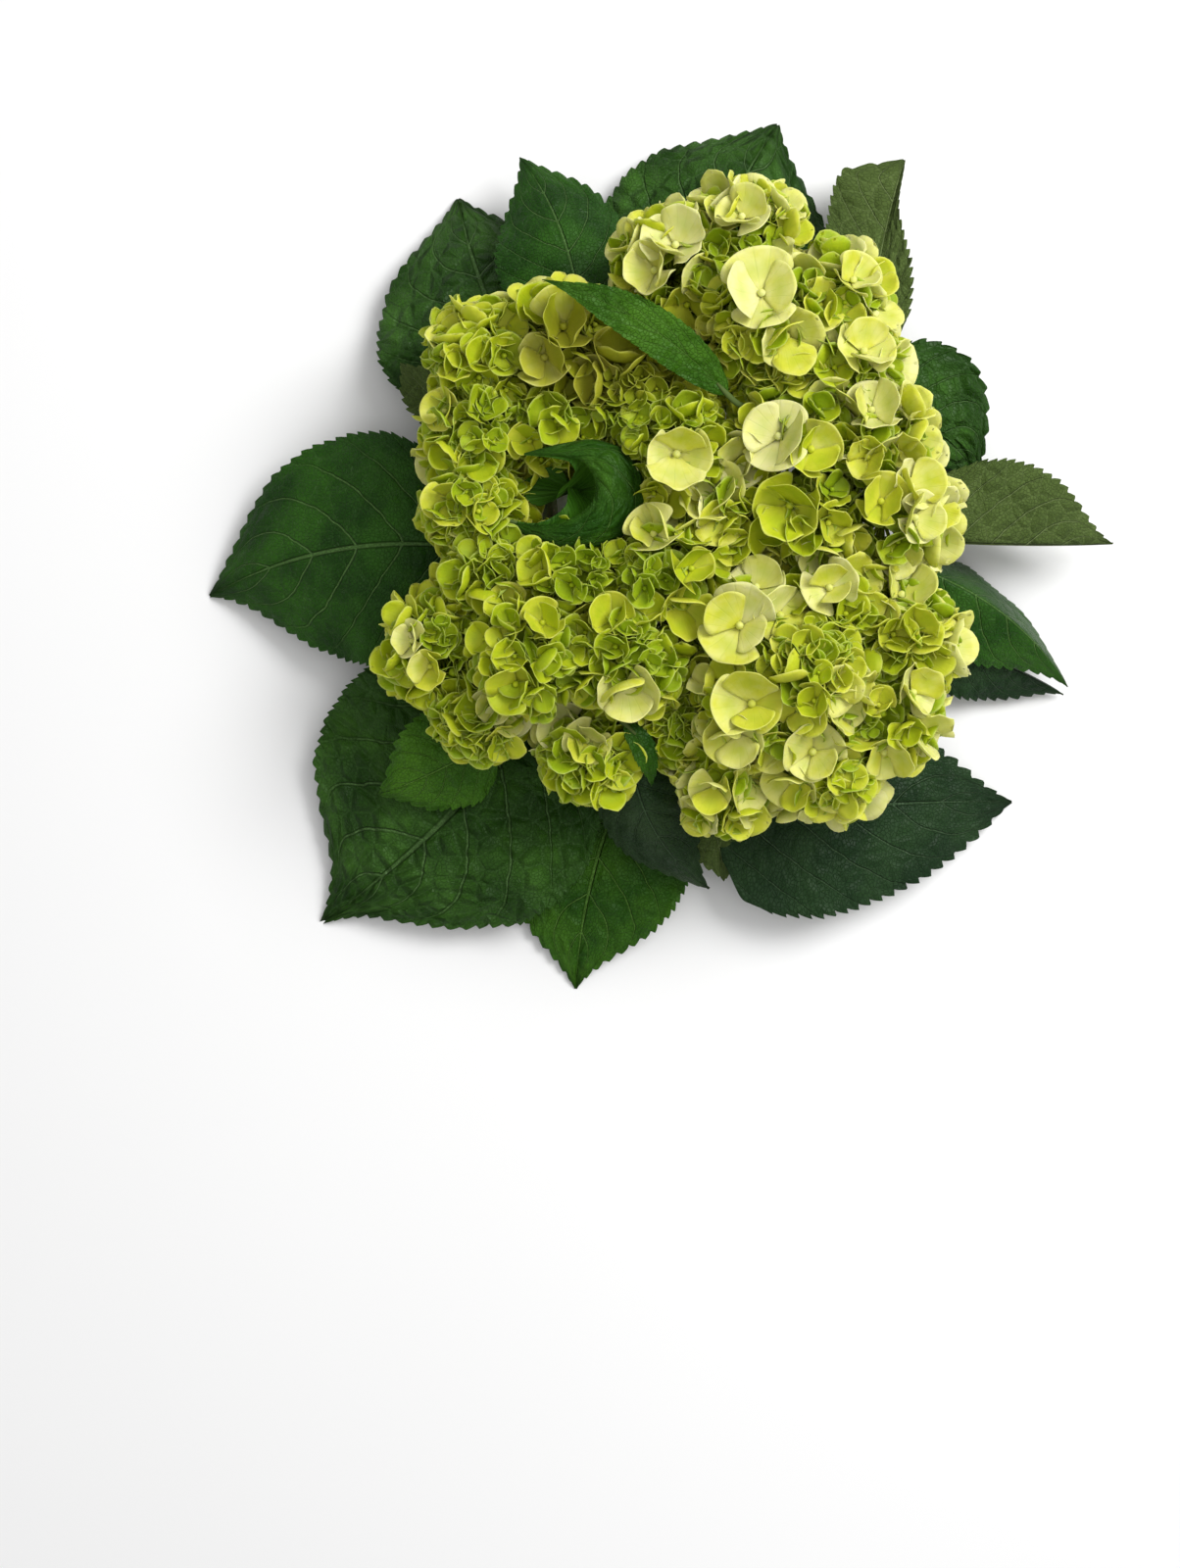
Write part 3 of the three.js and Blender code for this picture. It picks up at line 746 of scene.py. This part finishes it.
def add_leaf(name, leaf, finishes):
    """One leaf: closed blade and the round stalk that joins it to its stem."""
    points, facing, uu, vv, flat = blade_grid(leaf)
    upper = points + facing * BLADE_THICKNESS / 2
    lower = points - facing * BLADE_THICKNESS / 2
    rows, columns = uu.shape
    n = rows * columns
    turned = leaf.get("turned", False)
    top_side = np.stack([uu.ravel(), vv.ravel(), np.full(n, 1.0 if turned else 0.0)], 1)
    low_side = np.stack([uu.ravel(), vv.ravel(), np.full(n, 0.0 if turned else 1.0)], 1)
    pile = Pile()
    pile.add(
        np.concatenate([upper.reshape(-1, 3), lower.reshape(-1, 3)])[None],
        sheet_faces(rows, columns),
        blade=np.concatenate([top_side, low_side])[None],
        uv=np.concatenate([flat.reshape(-1, 2), flat.reshape(-1, 2)])[None])
    joint, base = np.array(leaf["joint"], float), np.array(leaf["base"], float)
    first = unit(midrib(leaf)(np.array([0.0, 0.02]))[1] - base)
    knee = base - first * np.linalg.norm(base - joint) * 0.45
    t = np.linspace(0, 1, 14)
    root = joint + unit(joint - knee) * 3.2
    path = np.concatenate([[root], bow(joint, knee, base, t), [base + first * 7]])
    radius = np.concatenate([[2.6], np.interp(t, [0, 0.15, 1], [2.2, 1.6, 1.35]), [0.5]])
    wall, caps = tube_faces(len(path), 8)
    body = tube(path, radius, 8, 0.85)
    stalk = np.tile([0.5, 0.3, 1.0], (len(body), 1))
    pile.add(body[None], wall, caps, blade=stalk[None])
    piece = pile.piece(name + "_blade", finishes[leaf["look"]], LEAF_SLOTS[leaf["look"]])
    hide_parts(name)


LEAF_SLOTS = {
    "smooth": "dark_leaf", "quilted": "dark_leaf", "blue": "dark_leaf", "grey": "dark_leaf",
    "bright": "bright_leaf", "fresh": "bright_leaf", "glossy": "bright_leaf",
    "under": "leaf_underside",
}


# ---------------------------------------------------------------- florets

Floret = namedtuple("Floret", "cluster place axis size openness age by_hand")
GOLDEN_ANGLE = math.pi * (3 - math.sqrt(5))
SMALL_GRID, LARGE_GRID, DEEP_GRID, KNOB_GRID = 6, 11, 5, 5
STALK_SIDES = 5


def square_to(axis):
    """Two directions at right angles to each axis and to each other."""
    helper = np.where(np.abs(axis[:, 2:3]) > 0.9, [[1.0, 0, 0]], [[0, 0, 1.0]])
    first = unit(np.cross(axis, helper))
    return first, np.cross(axis, first)


def disc_grid(n):
    """A square grid bent into a disc: x = a sqrt(1 - b^2/2), y = b sqrt(1 - a^2/2)."""
    b, a = np.meshgrid(np.linspace(-1, 1, n), np.linspace(-1, 1, n), indexing="ij")
    return a * np.sqrt(1 - b * b / 2), b * np.sqrt(1 - a * a / 2)


def sepals(centre, axis, turn, length, width, rise, flare, cup, skew, crimp, n):
    """Sepal sheets, one per entry. The middle line leaves the floret's axis at the angle
    rise and ends at the angle flare, turning evenly, so its reach is the integral of the
    cosine and its height that of the sine. Across it the sheet is cupped with the square
    of x, tilted by skew so that it overlaps its neighbour, and crimped at the rim."""
    a, b = disc_grid(n)
    s = ((b + 1) / 2)[None]
    x = a[None] * (0.55 + 0.45 * smooth(0.0, 0.45, s))
    ring = np.sqrt(a * a + b * b)[None]
    polar = np.arctan2(a, b + 1.2)[None]
    e0, e1, length, width, cup, skew, crimp = (
        values[:, None, None] for values in (rise, flare, length, width, cup, skew, crimp))
    span = np.where(np.abs(e1 - e0) < 1e-3, 1e-3, e1 - e0)
    angle = e0 + span * s
    reach = length * (np.sin(angle) - np.sin(e0)) / span
    height = length * (np.cos(e0) - np.cos(angle)) / span
    first, second = square_to(axis)
    out = unit(first * np.cos(turn)[:, None] + second * np.sin(turn)[:, None])
    across = np.cross(axis, out)

    def lift(vector):
        return vector[:, None, None, :]

    up = (-np.sin(angle)[..., None] * lift(out) + np.cos(angle)[..., None] * lift(axis))
    wide = width / 2 * x
    bulge = cup * wide ** 2 / np.maximum(width, 1e-6) * 4 * s
    tilt = skew * wide * s
    ripple = crimp * ring ** 4 * np.sin(polar * 14 + turn[:, None, None] * 7 + length)
    points = (lift(centre) + (0.04 * length + reach)[..., None] * lift(out)
              + height[..., None] * lift(axis) + wide[..., None] * lift(across)
              + (bulge + tilt + ripple)[..., None] * up)
    thick = ((0.11 + 0.007 * length) * (1 - 0.5 * ring ** 2))[..., None]
    m = len(centre)
    upper = (points + up * thick).reshape(m, -1, 3)
    lower = (points - up * thick).reshape(m, -1, 3)
    rim = np.broadcast_to(ring, (m, n, n)).reshape(m, -1)
    uv = np.stack(np.broadcast_arrays(x / 2, s), -1)
    uv = np.broadcast_to(uv, (m, n, n, 2)).reshape(m, -1, 2)
    return np.concatenate([upper, lower], 1), np.tile(rim, (1, 2)), np.tile(uv, (1, 2, 1))


def knobs(centre, axis, radius):
    """Little balls: a disc grid raised to a half ball, and its mirror image below."""
    x, y = disc_grid(KNOB_GRID)
    high = np.sqrt(np.clip(1 - x * x - y * y, 0, 1))
    first, second = square_to(axis)
    r = radius[:, None, None, None]
    flat = (y[None, ..., None] * first[:, None, None]
            + x[None, ..., None] * second[:, None, None])
    up = high[None, ..., None] * axis[:, None, None]
    rim = 0.04 * axis[:, None, None]
    upper = centre[:, None, None] + r * (flat + up + rim)
    lower = centre[:, None, None] + r * (flat - up - rim)
    m = len(centre)
    return np.concatenate([upper.reshape(m, -1, 3), lower.reshape(m, -1, 3)], 1)


def stalks(start, end, thick, thin):
    """Straight tapered tubes from start to end, three rings each, closed by end points."""
    first, second = square_to(unit(end - start))
    angle = np.arange(STALK_SIDES) * 2 * math.pi / STALK_SIDES
    ring = (np.cos(angle)[None, :, None] * first[:, None]
            + np.sin(angle)[None, :, None] * second[:, None])
    low = start[:, None] + ring * thick
    mid = (start + end)[:, None] / 2 + ring * thin
    top = end[:, None] + ring * thin
    return np.concatenate([low, mid, top, start[:, None], end[:, None]], 1)


BALLS = np.array([ball for members in CLUSTERS.values() for ball in members], float)
BALL_NAMES = [f"{head}_{i + 1}" for head, members in CLUSTERS.items()
              for i in range(len(members))]
# The dark hollow inside the curled leaf: middle, reach and lowest height of its mouth (mm)
HOLLOW_MIDDLE = (-41, 26)
HOLLOW_REACH = (15, 11)
HOLLOW_HEIGHT = 62


def ball_top(x, y):
    """Which cluster is highest at x, y; the point on it there and its outward direction."""
    gap = BALLS[:, 3] ** 2 - (BALLS[:, 0] - x) ** 2 - (BALLS[:, 1] - y) ** 2
    high = np.where(gap > 0, BALLS[:, 2] + np.sqrt(np.maximum(gap, 0)), -1e9)
    if high.max() < 0:
        away = np.hypot(BALLS[:, 0] - x, BALLS[:, 1] - y) - BALLS[:, 3]
        index = int(away.argmin())
        centre = BALLS[index, :3]
        out = np.array([x - centre[0], y - centre[1], 4.0])
        out /= np.linalg.norm(out)
        return index, centre + out * BALLS[index, 3], out
    index = int(high.argmax())
    point = np.array([x, y, high[index]])
    return index, point, unit(point - BALLS[index, :3])


def leaf_lines():
    """Points down the middle of the two leaves that lie among the flowers."""
    t = np.linspace(0, 1, 24)
    lines = []
    crossing, curled = LEAVES["crossing_leaf"], LEAVES["curled_leaf"]
    half = crossing["width"] / 2 * np.interp(t, OUTLINE_AT, OUTLINE_WIDTH)
    lines.append((midrib(crossing)(t), half))
    rim = midrib(curled)(t)
    out = unit(np.cross(np.gradient(rim, axis=0), (0, 0, 1)))
    half = 12 * np.interp(t, OUTLINE_AT, curled["right_outline"])
    lines.append((rim + out * half[:, None], half))
    return lines


LEAF_LINES = leaf_lines()


def in_hollow(point, spare):
    """Whether a floret at point would cover the dark hollow or one of those two leaves."""
    away = math.hypot((point[0] - HOLLOW_MIDDLE[0]) / HOLLOW_REACH[0],
                      (point[1] - HOLLOW_MIDDLE[1]) / HOLLOW_REACH[1])
    if away < 1 + spare / HOLLOW_REACH[0] and point[2] > HOLLOW_HEIGHT:
        return True
    for line, half in LEAF_LINES:
        away = np.hypot(line[:, 0] - point[0], line[:, 1] - point[1])
        near = away < half * 0.8 + spare
        if (near & (point[2] > line[:, 2] - 14)).any():
            return True
    return False


def floret_size(point, usual):
    """Size of the florets round a point: larger at the rim, small in young patches."""
    size = usual
    for x, y, reach, small in YOUNG_PATCHES:
        away = math.hypot(point[0] - x, point[1] - y) / reach
        size = min(size, small + 1.5 + max(0.0, away - 0.55) * 12)
    return size


def spread(count, drop, turn):
    """Even directions from the top of a ball down: a spiral in steps of the golden angle, as
    far down as drop, where 2 is the whole ball."""
    k = np.arange(count)
    cosine = 1 - drop * (k + 0.5) / count
    angle = GOLDEN_ANGLE * k + turn
    sine = np.sqrt(1 - cosine ** 2)
    return np.stack([sine * np.cos(angle), sine * np.sin(angle), cosine], 1)


def clearance(point, index):
    """How far each point of one cluster lies outside all the others (mm, at most 9)."""
    apart = np.linalg.norm(point[:, None] - BALLS[None, :, :3], axis=2) - BALLS[None, :, 3]
    apart[:, index] = 9
    return apart.min(1)


def choose_florets():
    """Listed florets first, then ones scattered over every cluster's open surface, as
    close as their sizes allow."""
    chosen = []
    for x, y, across, open_, age, lean_x, lean_y in FLORETS:
        index, point, out = ball_top(x, y)
        axis = unit(out * 0.55 + np.array([0, 0, 0.6]) + np.array([lean_x, lean_y, 0]) * 0.8)
        inset = out * np.array([0.28, 0.28, 0.1]) * across
        place = point - inset + np.array([0, 0, 0.05 * across])
        chosen.append(Floret(index, place, axis, across, open_, age, True))
    big = len(chosen)
    candidates = []
    for index, (x, y, z, r) in enumerate(BALLS):
        out = spread(240, 1.38, index)
        point = np.array([x, y, z]) + out * r
        keep = clearance(point, index) > -2.0
        candidates += [(index, p, o) for p, o in zip(point[keep], out[keep])]
    order = rng.permutation(len(candidates))
    places = [floret.place for floret in chosen]
    sizes = [floret.size for floret in chosen]
    for pick in order:
        index, point, out = candidates[pick]
        head = BALL_NAMES[index].rsplit("_", 1)[0]
        size = floret_size(point, FLORET_SIZE[head]) * rng.uniform(0.74, 1.26)
        away = np.linalg.norm(np.array(places) - point, axis=1)
        room = 0.25 * size + np.array(sizes) * np.where(np.arange(len(sizes)) < big, 0.40, 0.25)
        if (away < room).any() or in_hollow(point, 0.2 * size):
            continue
        lean = rng.normal(0, 0.3, 3)
        axis = unit(out * 0.85 + np.array([0, 0, 0.25]) + lean)
        slope = 1 - max(0.0, out[2])
        age = 0.10 + 0.030 * (size - 8) + 0.30 * slope + rng.normal(0, 0.10)
        age = np.clip(age + RIPENESS[head], 0, 0.92)
        open_ = np.clip(0.22 + 0.016 * size + rng.normal(0, 0.14), 0.05, 0.95)
        places.append(point)
        sizes.append(size)
        inset = out * (rng.normal(0.5, 1.6) + 0.28 * size * np.array([1, 1, 0.4]))
        chosen.append(Floret(index, point - inset, axis, size, open_, age, False))
    return chosen


def add_florets(pile, florets, n, root, broad=1.0):
    """Open florets of one cluster: four sepals each (sometimes three), a centre knob and a
    thin stalk back to the cluster's root."""
    _, centre, axis, size, open_, age, _ = (np.array(column) for column in zip(*florets))
    count = np.where(rng.random(len(florets)) < 0.12, 3, 4)
    which = np.repeat(np.arange(len(florets)), count)
    order = np.concatenate([np.arange(c) for c in count])
    start = rng.uniform(0, 2 * math.pi, len(florets))[which]
    turn = start + order * 2 * math.pi / count[which] + rng.normal(0, 0.14, len(which))
    inner = (order % 2) * (count[which] == 4)
    o = np.clip(open_[which] - 0.18 * inner + rng.normal(0, 0.10, len(which)), 0, 1)
    rise = np.radians(22 - 8 * o + 14 * inner + rng.normal(0, 3, len(which)))
    flare = np.radians(98 - 88 * o + 10 * inner + rng.normal(0, 9, len(which)))
    slant = np.clip(np.cos((rise + flare) / 2), 0.62, 1)
    reach = size[which] / 2 * rng.uniform(0.86, 1.12, len(which)) * (1 - 0.18 * inner)
    length = reach / slant
    width = broad * reach * (rng.uniform(1.20, 1.45, len(which)) + 0.45 * (1 - o))
    width = width * np.where(count[which] == 3, 1.2, 1)
    cup = 0.08 + 0.26 * (1 - o) + rng.normal(0, 0.03, len(which))
    skew = rng.normal(0, 0.06, len(which))
    crimp = rng.uniform(0.005, 0.045, len(which)) * length
    lifted = centre[which] + axis[which] * ((0.02 + 0.07 * inner) * length)[:, None]
    points, rim, uv = sepals(
        lifted, axis[which], turn, length, width, rise, flare, cup, skew, crimp, n)
    tone = np.clip(age[which] - 0.08 * inner + rng.normal(0, 0.07, len(which)), 0, 1)
    pile.add(points, sheet_faces(n, n), age=np.broadcast_to(tone[:, None], rim.shape),
             rim=rim, uv=uv)
    ball = np.clip(size * 0.068, 0.7, 1.7)
    eyes = knobs(centre + axis * (ball * 0.9 + size * 0.05)[:, None], axis, ball)
    tone = np.broadcast_to(np.clip(age, 0, 1)[:, None], eyes.shape[:2])
    pile.add(eyes, sheet_faces(KNOB_GRID, KNOB_GRID), age=tone,
             rim=np.full(eyes.shape[:2], 0.7))
    add_stalks(pile, centre, axis, root)


def add_stalks(pile, centre, axis, root):
    """Thin stalks: first down along the floret's axis, then in to the cluster's root."""
    bend = centre - axis * 5.5
    wall, caps = tube_faces(3, STALK_SIDES)
    for points in (stalks(bend, centre, 0.75, 0.6), stalks(
            np.broadcast_to(root, centre.shape), bend, 1.0, 0.75)):
        shape = points.shape[:2]
        pile.add(points, wall, caps, age=np.full(shape, 0.22), rim=np.full(shape, 0.55))


def add_buds(pile, index, root):
    """Closed buds and tiny cups that fill the cluster under its open florets."""
    x, y, z, r = BALLS[index]
    count = 64
    out = unit(spread(count, 1.35, 2 * index) + rng.normal(0, 0.1, (count, 3)))
    depth = rng.uniform(0.60, 0.90, count)
    point = np.array([x, y, z]) + out * (r * depth)[:, None]
    spot_x, spot_y, across = np.array(FLORETS)[:, :3].T
    away = np.hypot(point[:, None, 0] - spot_x, point[:, None, 1] - spot_y)
    under_big = (away < 0.42 * across).any(1)
    covered = np.array([in_hollow(p, 0.0) for p in point]) | (under_big & (depth > 0.72))
    keep = (clearance(point, index) > -6) & ~covered
    point, out = point[keep], out[keep]
    half = rng.random(len(point)) < 0.4
    radius = rng.uniform(1.1, 2.3, len(point))[half]
    balls = knobs(point[half], out[half], radius)
    tone = np.broadcast_to(rng.uniform(0.05, 0.35, len(balls))[:, None], balls.shape[:2])
    pile.add(balls, sheet_faces(KNOB_GRID, KNOB_GRID), age=tone,
             rim=np.full(balls.shape[:2], 0.5))
    add_stalks(pile, point[half], out[half], root)
    cups = [Floret(index, p, unit(o + rng.normal(0, 0.25, 3)), rng.uniform(9, 19),
                   rng.uniform(0.3, 0.8), rng.uniform(0.0, 0.25), False)
            for p, o in zip(point[~half], out[~half])]
    add_florets(pile, cups, DEEP_GRID, root)
    middle = np.array([x, y, z])
    deep = [Floret(index, middle + unit(o) * (0.52 * r), unit(o), 24.0, 0.85, 0.0, False)
            for o in out[::4]]
    add_florets(pile, deep, DEEP_GRID, root)


def build_heads(finish, stalk):
    """Every flower cluster as one piece, and the branches of each head as another."""
    florets = choose_florets()
    for index, name in enumerate(BALL_NAMES):
        x, y, z, r = BALLS[index]
        root = np.array([x, y, z - 0.45 * r])
        pile = Pile()
        mine = [floret for floret in florets if floret.cluster == index]
        big = [floret for floret in mine if floret.by_hand]
        small = [floret for floret in mine if not floret.by_hand]
        if small:
            add_florets(pile, small, SMALL_GRID, root)
        if big:
            add_florets(pile, big, LARGE_GRID, root, 1.2)
        add_buds(pile, index, root)
        piece = pile.piece(name + "_florets", finish, "green_florets")
        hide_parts(name)
    rings, sides = 12, 8
    wall, caps = tube_faces(rings, sides)
    for head, members in CLUSTERS.items():
        pile = Pile()
        top = np.array(STEMS[HEAD_STEM[head]][0], float) - np.array([0, 0, 12])
        for x, y, z, r in members:
            end = np.array([x, y, z - 0.35 * r])
            middle = top * 0.45 + end * 0.55 - np.array([0, 0, 6])
            path = bow(top, middle, end, np.linspace(0, 1, rings))
            body = tube(path, np.linspace(2.3, 1.5, rings), sides)
            pile.add(body[None], wall, caps, uv=np.zeros((1, len(body), 2)))
        pile.piece(head.replace("cluster", "branches"), stalk, "woody_stem")


# ---------------------------------------------------------------- stems

def add_stem(name, points, finish):
    """Round stem along its middle line, swollen at two nodes, with a flat pale cut end."""
    rings, sides = 90, 20
    t = np.linspace(0, 1, rings)
    path = through(points, t)
    radius = np.full(rings, STEM_RADIUS)
    radius -= 0.9 * (1 - smooth(0.0, 0.3, t))
    for spot in (0.18, 0.62):
        radius += 0.55 * np.exp(-((t - spot) / 0.012) ** 2)
    body = tube(path, radius, sides)
    wall, caps = tube_faces(rings, sides)
    length = np.linalg.norm(np.diff(path, axis=0), axis=1).sum()
    around = np.tile(np.arange(sides) / sides, rings)
    uv = np.stack([around * 0.25, np.repeat(t, sides) * length / 100], 1)
    uv = np.concatenate([uv, [[0.1, 0], [0.1, length / 100]]])
    cut = np.zeros(len(body))
    cut[-1] = 1.0
    pile = Pile()
    pile.add(body[None], wall, caps, uv=uv[None], cut=cut[None])
    piece = pile.piece(name + "_bark", finish, "woody_stem")
    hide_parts(name)


# ---------------------------------------------------------------- room, light and camera

FLOOR_REACH = 3.0
# Name, place (m), size (m) and power (W) of each soft lamp, and the point they face
LIGHTS = (("window_light", (0.80, 0.55, 1.20), 0.8, 21.0),
          ("ceiling_light", (0.3, -0.1, 1.8), 1.6, 8.0))
LIT_POINT = Vector((0, 0, 0.05))
ROOM_LIGHT = 0.48
CAMERA_PLACE = (-29.4, -97.9, 1070.0)
CAMERA_LENS = 53.57


def build_room():
    """Pale floor, soft light from above right and a soft fill, and the camera above."""
    made, tree, shader = material("pale_floor")
    cloud = noise(tree, here(tree), 2.0, 2.0)
    tree.links.new(ramp(tree, cloud, [(0.3, (0.86, 0.86, 0.86)), (0.7, (0.88, 0.88, 0.88))]),
                   shader.inputs["Base Color"])
    shader.inputs["Roughness"].default_value = 0.9
    mesh = bpy.data.meshes.new("floor")
    wide = FLOOR_REACH
    mesh.from_pydata([(-wide, -wide, 0), (wide, -wide, 0), (wide, wide, 0), (-wide, wide, 0)],
                     [], [(0, 1, 2, 3)])
    mesh.materials.append(made)
    floor = bpy.data.objects.new("floor", mesh)
    bpy.context.scene.collection.objects.link(floor)
    for name, place, size, power in LIGHTS:
        light = bpy.data.lights.new(name, "AREA")
        light.energy = power
        light.size = size
        lamp = bpy.data.objects.new(name, light)
        lamp.location = place
        lamp.rotation_euler = (LIT_POINT - Vector(place)).to_track_quat("-Z", "Y").to_euler()
        bpy.context.scene.collection.objects.link(lamp)
    world = bpy.data.worlds.new("room")
    world.use_nodes = True
    sky = world.node_tree.nodes["Background"]
    sky.inputs["Color"].default_value = (1, 1, 1, 1)
    sky.inputs["Strength"].default_value = ROOM_LIGHT
    bpy.context.scene.world = world
    lens = bpy.data.cameras.new("camera")
    lens.lens = CAMERA_LENS
    lens.sensor_width = 36
    camera = bpy.data.objects.new("camera", lens)
    camera.location = placed(CAMERA_PLACE)
    bpy.context.scene.collection.objects.link(camera)
    bpy.context.scene.camera = camera


bpy.context.scene.view_settings.view_transform = "Standard"
build_room()
finishes = {look: leaf_finish(look) for look in LEAF_LOOKS}
for leaf_name, shape in LEAVES.items():
    add_leaf(leaf_name, shape, finishes)
bark = bark_finish()
for stem_name, stem_points in STEMS.items():
    add_stem(stem_name, stem_points, bark)
build_heads(petal_finish(), stalk_finish())
